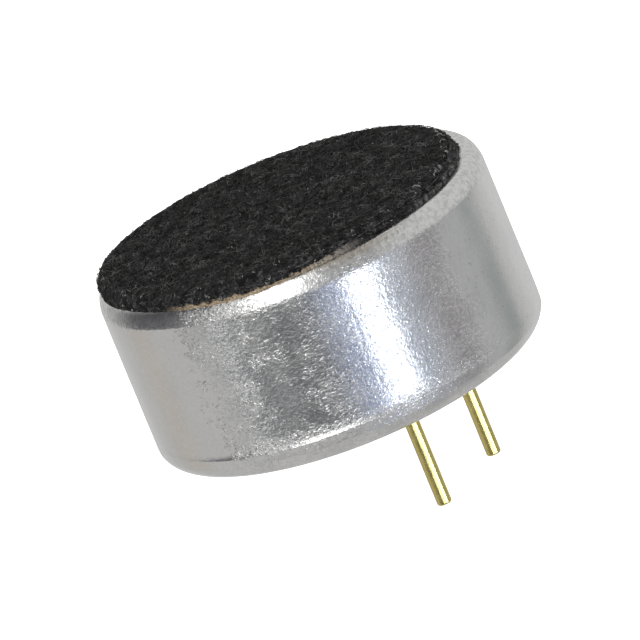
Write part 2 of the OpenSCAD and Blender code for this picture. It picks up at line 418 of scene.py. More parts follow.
WORN = Side((-0.8, -0.6, 0.0), 44, 39)
RUBBED = Side((-0.99, -0.10, 0.0), 19, 5)
CRUSHED = Side((-0.99, -0.10, 0.0), 30, 12)
SPECKLED = Side((-0.60, -0.80, 0.0), 30, 18)
NICKED = Side((0.16, -0.99, 0.0), 34, 15)
# The side where the band just under the felt is greyed: partly dirt, partly painted shade of the felt
GRIMY_AND_SHADED = Side((-0.97, 0.22, 0.0), 29, 12)

# How strong the marks are: off and on the rubbed side, and in the other marked places
RUBBED_MARKS = (0.7, 1.7)
CRUSHED_MARKS = 1.6
SPECKLED_MARKS = 0.65
FOOT_MARKS = 1.5

# Depths in millimetres
PIT_DEPTH = 0.008
DIMPLE_DEPTH = 0.0028
SCRATCH_DEPTH = 0.0016
SPECK_DEPTH = 0.0050

WALL_PIT_SHARE = 0.4
WANDER = 0.07
PLAIN_ROUGHNESS = (0.15, 0.21)
SCUFF_ROUGHNESS = 0.24
BEND_PIT_SHARE = 0.75
GRIME_AND_SHADE_SHARE = 0.8
NICK_SHARE = 0.45
GRIME_AND_SHADE_GREY = (0.50, 0.50, 0.505, 1.0)
NICK_GREY = (0.55, 0.55, 0.55, 1.0)


def crushed_foot(f):
    """1 on the crushed line above the rolled edge."""
    under_wall = f.spread(f.height(), wall_foot_z / MM + 0.22, wall_foot_z / MM + 0.04)
    over_roll = f.spread(f.height(), crease_z / MM - 0.08, crease_z / MM - 0.02)
    return f.times(under_wall, over_roll)


def can_marks(f, worn, bent):
    """How strongly the can is marked: in clusters where it is worn, and all over where it was crushed."""
    rubbed = f.spread(f.on_side(RUBBED), 0.0, 1.0, *RUBBED_MARKS)
    marks = f.spread(f.noise(CLUSTERS), 0.44, 0.66, to_low=0.06)
    crushed = f.times(bent, f.on_side(CRUSHED))
    marks = f.larger(marks, f.times(crushed, CRUSHED_MARKS))
    marks = f.larger(marks, f.spread(f.on_side(SPECKLED), 0.0, 1.0, to_high=SPECKLED_MARKS))
    marks = f.larger(marks, f.times(crushed_foot(f), FOOT_MARKS))
    return f.times(f.times(worn, rubbed), marks)


def can_relief(f, uneven, marked):
    """Fine pits all over, and dimples, scratches and specks where the can is marked."""
    strength = f.spread(uneven, 0.0, 1.0, to_low=WALL_PIT_SHARE)
    normal = f.bump(f.times(f.noise(CAN_PITS), strength), PIT_DEPTH)
    normal = f.bump(f.times(f.noise(DIMPLES), marked), DIMPLE_DEPTH, normal)
    scratches = f.curls(SCRATCHES, SCRATCH_HALF_WIDTH, SCRATCH_CUT)
    normal = f.bump(f.times(scratches, marked), SCRATCH_DEPTH, normal)
    specks = f.spread(f.noise(SPECKS), 0.57, 0.69)
    return f.bump(f.times(specks, marked), SPECK_DEPTH, normal)


def can_colour(f, patches, uneven, bent, wander):
    """Bright aluminium, blotched where it is worn, pitted on the shoulder, and greyed just under the felt
    on one side, partly as dirt and partly as painted shade of the felt.
    """
    mottle = f.plus(f.times(patches, 0.5), f.times(f.noise(CAN_MOTTLE), 0.5))
    calm = f.ramp(mottle, (0.35, (0.84, 0.842, 0.848)), (0.65, (0.94, 0.94, 0.942)))
    blotched = f.ramp(mottle, (0.42, (0.80, 0.802, 0.81)), (0.58, (0.95, 0.95, 0.946)))
    colour = f.mix(uneven, calm, blotched)
    pitted = f.ramp(f.noise(BEND_PITS), (0.38, (0.68, 0.683, 0.69)), (0.56, (0.96, 0.96, 0.956)))
    colour = f.mix(f.times(bent, BEND_PIT_SHARE), colour, pitted)
    # Painted shade: a grey band just under the felt on one side, partly dirt and partly the felt's shadow
    grime_and_shade = f.spread(f.height(), can_h / MM - 0.28, can_h / MM - 0.08, to_high=GRIME_AND_SHADE_SHARE)
    colour = f.mix(f.times(grime_and_shade, f.on_side(GRIMY_AND_SHADED, wander)), colour, GRIME_AND_SHADE_GREY)
    nicks = f.spread(f.noise(NICKS), 0.31, 0.25, to_high=NICK_SHARE)
    return f.mix(f.times(nicks, f.on_side(NICKED)), colour, NICK_GREY)


def aluminium():
    f = Finish("can_aluminium")
    patches = f.noise(CAN_PATCHES)
    wander = f.spread(f.noise(WEAR_EDGE), *NOISE_RANGE, -WANDER, WANDER)
    worn = f.on_side(WORN, wander)
    bent = f.spread(f.height(), wall_top_z / MM - 0.02, wall_top_z / MM + 0.06)
    uneven = f.larger(worn, bent)
    marked = can_marks(f, worn, bent)
    scuffs = f.times(f.spread(f.noise(SCUFFS), 0.50, 0.62), marked)
    rough = f.plus(f.spread(patches, *NOISE_RANGE, *PLAIN_ROUGHNESS), f.times(scuffs, SCUFF_ROUGHNESS))
    f.shade(Base_Color=can_colour(f, patches, uneven, bent, wander), Metallic=1.0, Roughness=rough,
            Normal=can_relief(f, uneven, marked))
    return f


# Materials of the felt

FELT_TUFTS = Grain(4.5, 3.0, 0.6)
FELT_FUZZ = Grain(18.0, 3.0, 0.65)
FELT_FOOT = Grain(3.6, 3.0, 0.65)
FELT_FRAY = Grain(9.0, 3.0, 0.65)
FELT_THREADS = (
    Grain(3.6, 0.0, 0.5, 0.0),
    Grain(5.2, 0.0, 0.5, 4.4),
    Grain(7.4, 0.0, 0.5, 8.3),
)
THREAD_HALF_WIDTH = 0.05
THREAD_CUT = 0.5
THREAD_SHARE = 0.5
FOOT_UNEVEN = 0.06
FELT_DEPTH = 0.02

# Sides of the painted warm reflection at the felt's foot: tan, and pale further round
PAINTED_TAN_REFLECTION = Side((math.cos(WARM_REFLECTION_AT), math.sin(WARM_REFLECTION_AT), 0.0), 34, 20)
PAINTED_PALE_REFLECTION = Side((0.6, -0.8, 0.0), 101, 66)
FRAYED = Side((math.cos(FRAY_AT), math.sin(FRAY_AT), 0.0), 47, 25)


def felt_foot(f, colour, fuzz):
    """The felt's colour, with a painted warm reflection, tan turning pale, on one side of its foot and grey
    fray on another.
    """
    level = f.plus(f.over_can(), f.spread(f.noise(FELT_FOOT), *NOISE_RANGE, -FOOT_UNEVEN, FOOT_UNEVEN))
    # Painted reflection: a tan band, pale further round, stands for warm light mirrored on the shoulder
    # under the felt
    tan = f.ramp(fuzz, (0.35, (0.27, 0.19, 0.11)), (0.62, (0.62, 0.50, 0.36)), (0.72, (0.85, 0.80, 0.74)))
    pale = f.ramp(fuzz, (0.35, (0.20, 0.195, 0.19)), (0.65, (0.52, 0.51, 0.49)))
    painted_reflection = f.mix(f.on_side(PAINTED_PALE_REFLECTION), tan, pale)
    colour = f.mix(f.times(f.spread(level, 0.115, 0.075), f.on_side(PAINTED_TAN_REFLECTION)), colour, painted_reflection)
    grey = f.ramp(f.noise(FELT_FRAY), (0.38, (0.035, 0.035, 0.036)), (0.62, (0.42, 0.42, 0.425)))
    return f.mix(f.times(f.spread(level, 0.11, 0.05), f.on_side(FRAYED)), colour, grey)


def felt():
    f = Finish("black_felt")
    fuzz = f.noise(FELT_FUZZ)
    threads = f.times(f.curls(FELT_THREADS, THREAD_HALF_WIDTH, THREAD_CUT), THREAD_SHARE)
    # Partly the felt's own uneven tone, partly painted shade: darker patches stand for its shaded hollows
    tuft_tone_and_shade = f.spread(f.noise(FELT_TUFTS), 0.34, 0.64, to_low=0.35)
    colour = f.ramp(f.times(f.plus(threads, fuzz), tuft_tone_and_shade), (0.2, (0.009, 0.009, 0.0092)),
                    (0.55, (0.038, 0.038, 0.0385)), (1.0, (0.13, 0.13, 0.131)))
    f.shade(Base_Color=felt_foot(f, colour, fuzz), Roughness=0.95, Specular_IOR_Level=0.15,
            Normal=f.bump(f.plus(fuzz, threads), FELT_DEPTH))
    return f


def thread_finish(name, grain, roughness, gloss, *stops):
    """A material for loose threads, in shades that change from place to place."""
    f = Finish(name)
    f.shade(Base_Color=f.ramp(f.noise(grain), *stops), Roughness=roughness, Specular_IOR_Level=gloss)
    return f


def felt_fibre():
    return thread_finish("felt_fibre", Grain(3.4, 3.0, 0.7), 0.6, 0.3, (0.35, (0.013, 0.013, 0.0133)),
                         (0.52, (0.068, 0.068, 0.069)), (0.72, (0.26, 0.26, 0.262)))


def frayed_fibre():
    return thread_finish("frayed_fibre", Grain(5.5, 3.0, 0.7), 0.6, 0.3, (0.34, (0.02, 0.02, 0.021)),
                         (0.52, (0.12, 0.12, 0.125)), (0.74, (0.42, 0.42, 0.43)))


def lint():
    return thread_finish("pale_lint", Grain(6.0, 2.0, 0.6), 0.5, 0.5, (0.35, (0.2, 0.2, 0.2)),
                         (0.65, (0.75, 0.75, 0.74)))


# Other materials

GOLD_TINT = Grain(5.0, 3.0, 0.6)
DRAWN_WIRE = Grain(30.0, 2.0, 0.5, 0.0, (1.0, 1.0, 0.06))
DRAWN_DEPTH = 0.0008
GOLD_ROUGHNESS = (0.22, 0.28)

# A plain stock material: two shades, uneven gloss, and a fine grain with its depth in millimetres
Stock = namedtuple("Stock", "name metallic dark light rough_low rough_high grain_per_mm depth_mm")
STOCK_SHADES = Grain(1.9, 4.0, 0.6)
SOLDER = Stock("solder_tin", 1.0, (0.62, 0.63, 0.64), (0.78, 0.79, 0.80), 0.18, 0.34, 7.0, 0.004)

# Stocks of the CAD nodes that keep their own shape
INNER_STOCKS = {
    Stock("tinned_lead", 1.0, (0.6, 0.61, 0.62), (0.76, 0.77, 0.78), 0.25, 0.4, 14.0, 0.002):
        ("jfet_gate_lead", "jfet_source_lead", "jfet_drain_lead", "jfet_solder"),
    Stock("ring_brass", 1.0, (0.62, 0.48, 0.2), (0.74, 0.6, 0.28), 0.22, 0.36, 12.0, 0.002):
        ("diaphragm_ring", "back_plate", "gate_ring"),
    Stock("etched_copper", 1.0, (0.66, 0.36, 0.2), (0.8, 0.48, 0.28), 0.28, 0.42, 16.0, 0.002):
        ("gate_track", "source_track", "drain_track", "ground_copper", "output_copper"),
    Stock("green_board", 0.0, (0.012, 0.075, 0.035), (0.02, 0.11, 0.05), 0.3, 0.42, 6.0, 0.003):
        ("circuit_board",),
    Stock("holder_white", 0.0, (0.68, 0.67, 0.6), (0.78, 0.77, 0.71), 0.45, 0.6, 10.0, 0.004):
        ("plate_holder",),
    Stock("package_black", 0.0, (0.012, 0.012, 0.013), (0.025, 0.025, 0.027), 0.5, 0.7, 18.0, 0.004):
        ("jfet_body",),
    Stock("metallised_film", 1.0, (0.78, 0.78, 0.8), (0.86, 0.86, 0.88), 0.08, 0.14, 2.0, 0.002):
        ("diaphragm_film",),
    Stock("spacer_amber", 0.0, (0.55, 0.45, 0.25), (0.65, 0.55, 0.33), 0.2, 0.3, 4.0, 0.001):
        ("spacer_ring",),
    Stock("adhesive_white", 0.0, (0.66, 0.64, 0.58), (0.76, 0.74, 0.68), 0.5, 0.65, 8.0, 0.004):
        ("felt_adhesive",),
}


def gold():
    f = Finish("pin_gold")
    tint = f.noise(GOLD_TINT)
    colour = f.ramp(tint, (0.3, (0.80, 0.68, 0.22)), (0.7, (0.93, 0.81, 0.34)))
    rough = f.spread(tint, *NOISE_RANGE, *GOLD_ROUGHNESS)
    f.shade(Base_Color=colour, Metallic=1.0, Roughness=rough,
            Normal=f.bump(f.noise(DRAWN_WIRE), DRAWN_DEPTH))
    return f


def mottled(stock):
    f = Finish(stock.name)
    grain = f.noise(Grain(stock.grain_per_mm, 3.0, 0.6))
    colour = f.ramp(f.noise(STOCK_SHADES), (0.3, stock.dark), (0.7, stock.light))
    rough = f.spread(grain, *NOISE_RANGE, stock.rough_low, stock.rough_high)
    f.shade(Base_Color=colour, Metallic=stock.metallic, Roughness=rough,
            Normal=f.bump(grain, stock.depth_mm))
    return f


def dress_inner_nodes():
    for stock, node_names in INNER_STOCKS.items():
        finish = mottled(stock)
        for node_name in node_names:
            dress(node_name, finish)


# Can

CAN_SIDES = 420
HOLE_SIDES = 32
BEAD_STEPS = 10
# Where the shoulder's curve runs into the wall and where the roll's starts, in degrees
CORNER_END = 25
ROLL_START = -16
# The bead's crest: steps outwards and downwards in millimetres
CREST = ((0.001, 0.010), (-0.004, 0.022))

DENT_COUNT = 60
DENT_HEIGHT = (0.12, 1.0)
DENT_WIDTH = (0.08, 0.28)
DENT_DEPTH = (0.001, 0.005)
DENT_REACH = 3

WALL_WAVE = 0.004 * MM
BEAD_WAVE = 0.022 * MM
BEAD_PUSH = 0.006 * MM
BEAD_REACH = 0.2 * MM


def can_outside():
    """Section of the outside, from the front flat round the shoulder, bead and roll to the lip's edge."""
    points = full_corner((flat_r, can_h - corner_h), corner_w, corner_h, corner_full, 90, CORNER_END, 30)
    wall_end_z = crease_z + bead_run
    points += line(points[-1], (bead_foot_r, wall_end_z), 44)
    for i in range(1, BEAD_STEPS + 1):
        t = i / BEAD_STEPS
        points.append((bead_foot_r + bead_out * t * t, wall_end_z - bead_run * t))
    crest_r, crest_z = points[-1]
    points += [(crest_r + out * MM, crest_z - down * MM) for out, down in CREST]
    seat_r = wall_r - roll_r
    roll_w = crest_r - roll_step - seat_r
    points += full_corner((seat_r, roll_r), roll_w, roll_r, roll_full, ROLL_START, -90, 26)
    points += line(points[-1], (lip_r + lip_edge_r, 0), 4)
    points += arc((lip_r + lip_edge_r, lip_edge_r), lip_edge_r, -90, -180, 5)[1:]
    return points


def can_inside():
    """Section of the inside, from the lip's edge along the bore to the front wall."""
    front_bend = shoulder_h - sheet_t
    points = arc((lip_r + lip_edge_r, sheet_t - lip_edge_r), lip_edge_r, 180, 90, 5)
    points += line(points[-1], (bore_r - bend_r, sheet_t), 3)
    points += arc((bore_r - bend_r, sheet_t + bend_r), bend_r, -90, 0, 6)[1:]
    points += line(points[-1], (bore_r, front_in_z - front_bend), 4)
    points += arc((bore_r - front_bend, front_in_z - front_bend), front_bend, 0, 90, 6)[1:]
    return points


def make_dents():
    """Small knocks on the outside: angle, height, width and depth."""
    draw = random.Random(SEED)
    dents = []
    for _ in range(DENT_COUNT):
        dents.append((draw.uniform(-math.pi, math.pi), draw.uniform(*DENT_HEIGHT) * can_h,
                      draw.uniform(*DENT_WIDTH) * MM, draw.uniform(*DENT_DEPTH) * MM))
    return dents


def wall_swell(x, y, z):
    """Unevenness of the drawn wall at a place in millimetres."""
    broad = noise.noise(Vector((0.55 * x, 0.55 * y, 0.4 * z)))
    fine = noise.noise(Vector((1.9 * x, 1.9 * y, 1.4 * z)))
    return broad + 0.5 * fine


def bead_lift(x, y):
    """How the bead rises and falls around the can, at a place in millimetres."""
    broad = noise.noise(Vector((0.5 * x, 0.5 * y, 3.0)))
    fine = noise.noise(Vector((2.3 * x, 2.3 * y, 9.0)))
    return broad + 0.45 * fine


def worn_shape():
    """A reshape for the can's outside: slight waviness, dents, and a bead that isn't quite level."""
    dents = make_dents()

    def worn(r, z, a):
        x, y = r * math.cos(a) / MM, r * math.sin(a) / MM
        side = min(1.0, max(0.0, (r - lip_r) / (wall_r - lip_r)))
        push = WALL_WAVE * side * wall_swell(x, y, z / MM)
        for at, height, width, depth in dents:
            turn = angle_between(a, at) * r
            if turn < DENT_REACH * width and abs(z - height) < DENT_REACH * width:
                push -= side * depth * math.exp(-(turn * turn + (z - height) ** 2) / (width * width))
        push -= max(0.0, r - bead_foot_r) * (1 - bell(angle_between(a, BEAD_AT), BEAD_SPREAD))
        near_bead = bell(z - crease_z, BEAD_REACH)
        push += BEAD_PUSH * near_bead * side * noise.noise(Vector((1.6 * x, 1.6 * y, 5.0)))
        return r + push, z + BEAD_WAVE * near_bead * side * bead_lift(x, y)

    return worn


def make_can():
    bm = bmesh.new()
    worn = worn_shape()
    rings = [add_ring(bm, r, z, CAN_SIDES, worn) for r, z in can_outside()]
    rings += [add_ring(bm, r, z, CAN_SIDES) for r, z in can_inside()]
    for a, b in zip(rings, rings[1:]):
        bridge(bm, a, b)
    hole_places = [(0.0, 0.0)]
    for i in range(sound_hole_count):
        a = 2 * math.pi * i / sound_hole_count
        hole_places.append((sound_circle_r * math.cos(a), sound_circle_r * math.sin(a)))
    front_edges = loop_edges(bm, rings[0])
    back_edges = loop_edges(bm, rings[-1])
    for at in hole_places:
        upper = add_ring(bm, sound_hole_r, can_h, HOLE_SIDES, None, at)
        lower = add_ring(bm, sound_hole_r, front_in_z, HOLE_SIDES, None, at)
        bridge(bm, upper, lower)
        front_edges += loop_edges(bm, upper)
        back_edges += loop_edges(bm, lower)
    for edges in (front_edges, back_edges):
        bmesh.ops.triangle_fill(bm, use_beauty=True, use_dissolve=False, edges=edges)
    finish_piece(mesh_object("can_shell", bm), aluminium(), "can_aluminium", "can")


# Felt

# Where the felt was cut wide or narrow: angle and spread in degrees, share of its radius
UNEVEN_CUT = ((-153, 25, 0.020), (159, 20, -0.006), (117, 24, 0.006), (-96, 22, -0.004), (-28, 28, 0.012))
# Where its foot is frayed and spreads on the can: angle and spread in degrees, reach in millimetres
FRAYED_FOOT = ((-105, 28, 0.035), (-42, 30, 0.14))
# Noise on those and on the top: scale and size
FOOT_FRAY = ((1.7, 0.35), (4.3, 0.3))
LOOSE_CUT = ((0.6, 0.002), (3.1, 0.003), (8.3, 0.002))
TUFTS = ((2.1, 0.022), (4.4, 0.034), (9.0, 0.016))
TUFT_EDGE = 0.5 * MM
TUFT_EDGE_SHARE = 0.3

FELT_SIDES = 440
TOP_RINGS = 120
SIDE_RINGS = 6
RING_CROWDING = 0.8
UNDER_SHARES = (0.985, 0.97, 0.96, 0.95, 0.94, 0.925, 0.6)

EDGE_ROUND = 0.13 * MM
FRAYED_ROUND = 0.08 * MM
GLUE_MARGIN = 0.03 * MM
LET_DOWN = 0.2 * MM
FOOT_GAP = 0.004 * MM
STEEPEST = 0.95


def sum_of_bells(a, bells):
    """Sum of what an angle gets from bells; each has its angle and spread in degrees, and its size."""
    total = 0.0
    for at, spread, size in bells:
        total += size * bell(angle_between(a, math.radians(at)), math.radians(spread))
    return total


def around(a, level):
    """A place for noise that repeats after one turn."""
    return Vector((9 * math.cos(a), 9 * math.sin(a), level))


def cut_share(a):
    """Share of the felt's radius that its cut reaches at an angle."""
    return 1.0 + sum_of_bells(a, UNEVEN_CUT)


def foot_reach(a):
    """How far the frayed foot reaches past the felt's cut at an angle."""
    return MM * sum_of_bells(a, FRAYED_FOOT) * (1 + octaves(around(a, 2.9), FOOT_FRAY))


def ragged(a):
    """Share of the felt's radius that its cut edge reaches at an angle, with its loose threads."""
    return cut_share(a) + octaves(around(a, 0.7), LOOSE_CUT)


def felt_lumps(x, y):
    """Height of the felt's top over its mean, from tufts down to single threads."""
    inward = felt_r - math.hypot(x - felt_at.x, y - felt_at.y)
    full = min(1.0, max(TUFT_EDGE_SHARE, inward / TUFT_EDGE))
    return MM * full * octaves(Vector((x / MM, y / MM, 0.3)), TUFTS)


def can_top(x, y):
    """Height of the can's outside under the felt."""
    out = min(STEEPEST, max(0.0, math.hypot(x, y) - flat_r) / corner_w)
    return can_h - corner_h * (1 - (1 - out ** corner_full) ** (1 / corner_full))


def felt_top(x, y):
    """Height of the felt's top, with its softened edge."""
    out = math.hypot(x - felt_at.x, y - felt_at.y)
    a = math.atan2(y - felt_at.y, x - felt_at.x)
    edge_round = EDGE_ROUND + FRAYED_ROUND * bell(a - FRAY_AT, FRAY_SPREAD)
    past = max(0.0, out - (felt_r * cut_share(a) - edge_round))
    edge_drop = edge_round - math.sqrt(max(edge_round ** 2 - past ** 2, 0))
    return felt_top_z - edge_drop + felt_lumps(x, y) - (can_h - can_top(x, y))


def felt_under(x, y):
    """Height of the felt's underside: flat on the adhesive, and let down on the can past it."""
    out = math.hypot(x - felt_at.x, y - felt_at.y)
    glue_r = glue_edge_x - felt_at.x + GLUE_MARGIN
    t = min(1.0, max(0.0, (out - glue_r) / LET_DOWN))
    t = t * t * (3 - 2 * t)
    return felt_low.z * (1 - t) + (can_top(x, y) + FOOT_GAP) * t


def felt_place(r, a, depth):
    """A point of the felt's skin; depth is 0 on the top and 1 on the underside."""
    reach = r * (ragged(a) + depth * foot_reach(a) / felt_r)
    x = felt_at.x + reach * math.cos(a)
    y = felt_at.y + reach * math.sin(a)
    return x, y, felt_top(x, y) * (1 - depth) + felt_under(x, y) * depth


def make_felt():
    rings = []
    for k in range(1, TOP_RINGS + 1):
        rings.append((felt_r * math.sin(math.pi / 2 * k / TOP_RINGS) ** RING_CROWDING, 0.0))
    for k in range(1, SIDE_RINGS + 1):
        rings.append((felt_r, k / SIDE_RINGS))
    for share in UNDER_SHARES:
        rings.append((share * felt_r, 1.0))
    bm = bmesh.new()
    angles = [2 * math.pi * i / FELT_SIDES for i in range(FELT_SIDES)]
    made = []
    for r, depth in rings:
        made.append([bm.verts.new(felt_place(r, a, depth)) for a in angles])
    for a, b in zip(made, made[1:]):
        bridge(bm, a, b)
    cap(bm, made[0], felt_place(0.0, 0.0, 0.0))
    cap(bm, made[-1], felt_place(0.0, 0.0, 1.0))
    finish_piece(mesh_object("felt_disc", bm), felt(), "black_felt", "dust_felt")


# Threads on the felt

# A kind that lies on the top: its points and curl, and its length, lift and radius as ranges in millimetres
TopThread = namedtuple("TopThread", "steps curl length lift radius")
LYING = TopThread(6, 1.8, (0.16, 0.5), (0.01, 0.045), (0.006, 0.011))
LOOP = LYING._replace(length=(0.10, 0.32), lift=(0.04, 0.12))
LINT = TopThread(4, 1.2, (0.03, 0.11), (0.02, 0.05), (0.005, 0.010))
FLAKE = TopThread(5, 0.5, (0.05, 0.24), (0.015, 0.05), (0.007, 0.02))

# A kind at the cut edge: its points, how far it can stand out and run along in millimetres, how far down it
# can start as a share of the edge, and its radius as a range in millimetres
EdgeThread = namedtuple("EdgeThread", "steps reach run low radius")
FUZZ = EdgeThread(6, 0.03, 0.2, 0.6, (0.005, 0.010))
FRINGE = EdgeThread(6, 0.05, 0.25, 1.0, (0.005, 0.011))
STRAND = EdgeThread(9, 0.04, 0.7, 0.6, (0.006, 0.011))
CRUMB = EdgeThread(4, 0.04, 0.07, 0.9, (0.007, 0.014))

FIBRE_COUNT = 4800
FUZZ_COUNT = 1300
FRINGE_COUNT = 420
STRAND_COUNT = 36
LINT_COUNT = 120
FLAKE_COUNT = 22
CRUMB_COUNT = 30

RIM_LIFT = 0.015 * MM
RIM_SLOPE = 0.14
RIM_GAP = 0.005 * MM
LINT_RIM = (0.955, 0.985)
LINT_INSIDE = 0.95
FLAKE_INSET = (0.01, 0.10)
THREAD_SINK = 0.008 * MM
EDGE_ROOT = 0.02 * MM
EDGE_FALL = 0.03
EDGE_BOW = 0.8
EDGE_UNDER_TOP = 0.05 * MM
REST_GAP = 0.012 * MM


class Threads:
    """Many thin closed tubes in one mesh."""

    SIDES = 3

    def __init__(self):
        self.verts = []
        self.faces = []

    def add(self, points, radius):
        n = self.SIDES
        start = len(self.verts)
        for i, p in enumerate(points):
            ahead = points[min(i + 1, len(points) - 1)] - points[max(i - 1, 0)]
            across = ahead.cross(Vector((0.1, 0.2, 1.0))).normalized()
            upward = across.cross(ahead).normalized()
            for k in range(n):
                a = 2 * math.pi * k / n
                self.verts.append(p + radius * (math.cos(a) * across + math.sin(a) * upward))
        for i in range(len(points) - 1):
            for k in range(n):
                a = start + i * n + k
                b = start + i * n + (k + 1) % n
                self.faces.append((a, b, b + n, a + n))
        last = len(self.verts) - n
        self.faces.append(tuple(range(start + n - 1, start - 1, -1)))
        self.faces.append(tuple(range(last, last + n)))

    def to_object(self, name):
        mesh = bpy.data.meshes.new(name)
        mesh.from_pydata(self.verts, [], self.faces)
        mesh.shade_smooth()
        obj = bpy.data.objects.new(name, mesh)
        bpy.context.collection.objects.link(obj)
        return obj


def curly_path(draw, kind, r, a, length, lift):
    """Points of a thread that lies on the felt's top and dips into it at both ends."""
    x = felt_at.x + r * math.cos(a)
    y = felt_at.y + r * math.sin(a)
    heading = draw.uniform(0, 2 * math.pi)
    bend = draw.gauss(0, kind.curl)
    kink = draw.gauss(0, kind.curl)
    step = length / kind.steps
    points = []
    for i in range(kind.steps):
        t = i / (kind.steps - 1)
        points.append(Vector((x, y, felt_top(x, y) + lift * math.sin(math.pi * t) - THREAD_SINK)))
        x += step * math.cos(heading)
        y += step * math.sin(heading)
        heading += (bend + kink * math.cos(math.pi * t)) / kind.steps
    return points


def edge_path(draw, kind, a):
    """Points of a thread that stands out of the felt's cut edge at an angle and runs along it."""
    out = kind.reach * MM * draw.uniform(0.0, 1.0)
    drop = draw.uniform(0.0, kind.low)
    fall = draw.uniform(-EDGE_FALL, EDGE_FALL) * MM
    skew = kind.run * MM * draw.uniform(-1.0, 1.0)
    points = []
    for i in range(kind.steps):
        t = i / (kind.steps - 1)
        turn = a + skew * t / felt_r
        r = felt_r * ragged(turn) + drop * foot_reach(turn) - EDGE_ROOT
        r += (out + EDGE_ROOT) * math.sin(math.pi * EDGE_BOW * t)
        x = felt_at.x + r * math.cos(turn)
        y = felt_at.y + r * math.sin(turn)
        rest_z = can_top(x, y) + REST_GAP
        z = rest_z + (1 - drop) * (felt_top_z - can_h - EDGE_UNDER_TOP) - fall * t
        points.append(Vector((x, y, max(z, rest_z))))
    return points


def add_top_thread(threads, draw, kind, r, a):
    """Draw a thread of a kind that lies on the top, and add it."""
    length = draw.uniform(*kind.length) * MM
    lift = draw.uniform(*kind.lift) * MM
    path = curly_path(draw, kind, r, a, length, lift)
    threads.add(path, draw.uniform(*kind.radius) * MM)


def add_edge_thread(threads, draw, kind, a):
    """Draw a thread of a kind at the cut edge, and add it."""
    path = edge_path(draw, kind, a)
    threads.add(path, draw.uniform(*kind.radius) * MM)


def make_fibres():
    """Threads all over the felt's top, every other one a loop that stands higher, and along its edge."""
    draw = random.Random(SEED + 1)
    threads = Threads()
    for k in range(FIBRE_COUNT):
        r = felt_r * math.sqrt(draw.random())
        a = draw.uniform(0, 2 * math.pi)
        length, lift = draw.uniform(*LYING.length), draw.uniform(*LYING.lift)
        if k % 2:
            length, lift = draw.uniform(*LOOP.length), draw.uniform(*LOOP.lift)
        lift = min(lift * MM, RIM_LIFT + RIM_SLOPE * (felt_r - r))
        path = curly_path(draw, LYING, r, a, length * MM, lift)
        radius = draw.uniform(*LYING.radius) * MM
        if max((p - felt_at).xy.length for p in path) < felt_r - RIM_GAP:
            threads.add(path, radius)
    for _ in range(FUZZ_COUNT):
        add_edge_thread(threads, draw, FUZZ, draw.uniform(0, 2 * math.pi))
    finish_piece(threads.to_object("felt_fibres"), felt_fibre(), "black_felt")


def make_fringe():
    """Paler, longer threads where the felt's cut edge is frayed."""
    draw = random.Random(SEED + 3)
    threads = Threads()
    for _ in range(FRINGE_COUNT):
        add_edge_thread(threads, draw, FRINGE, draw.gauss(FRAY_AT, FRAY_SPREAD))
    for _ in range(STRAND_COUNT):
        add_edge_thread(threads, draw, STRAND, draw.gauss(FRAY_AT - FRAY_SPREAD, FRAY_SPREAD))
    finish_piece(threads.to_object("felt_fringe"), frayed_fibre(), "black_felt")


def make_lint():
    """Pale lint on the felt, most of it at the edge, with flakes at the fray and crumbs where the warm
    reflection is painted at its foot.
    """
    draw = random.Random(SEED + 2)
    specks = Threads()
    for k in range(LINT_COUNT):
        r = felt_r * (draw.uniform(*LINT_RIM) if k % 3 else math.sqrt(draw.random()) * LINT_INSIDE)
        add_top_thread(specks, draw, LINT, r, draw.uniform(0, 2 * math.pi))
    for _ in range(FLAKE_COUNT):
        a = draw.gauss(FRAY_AT, FRAY_SPREAD)
        r = felt_r * cut_share(a) - draw.uniform(*FLAKE_INSET) * MM
        add_top_thread(specks, draw, FLAKE, r, a)
    for _ in range(CRUMB_COUNT):
        add_edge_thread(specks, draw, CRUMB, draw.gauss(WARM_REFLECTION_AT, WARM_REFLECTION_SPREAD))
    finish_piece(specks.to_object("felt_lint"), lint(), "black_felt")


# Pins and solder

PIN_SIDES = 96
SHANK_FLATS = 8
HEAD_T = 0.12 * MM
TIP_R = 0.05 * MM
TIP_CROWN = 0.001 * MM
CHAMFER = 0.03 * MM
WIRE_WOBBLE = 0.001 * MM
PRESSED_AT = math.radians(-132)
PRESSED_HALF = math.radians(22)
PRESSED_TURN = math.radians(4)
SOLDER_SIDES = 64
SOLDER_EDGE = 0.03 * MM
SOLDER_SWELL = 0.018 * MM


def pressed(r, a):
    """Radius of drawn wire that is pressed a little flat on one side."""
    off = angle_between(a, PRESSED_AT)
    if off > PRESSED_HALF:
        return r
    half_flat = r * math.sin(PRESSED_HALF)
    bow_r = half_flat / math.sin(PRESSED_TURN)
    bow = (half_flat ** 2 - (r * math.sin(off)) ** 2) / (2 * bow_r)
    return (r * math.cos(PRESSED_HALF) + bow) / math.cos(off)


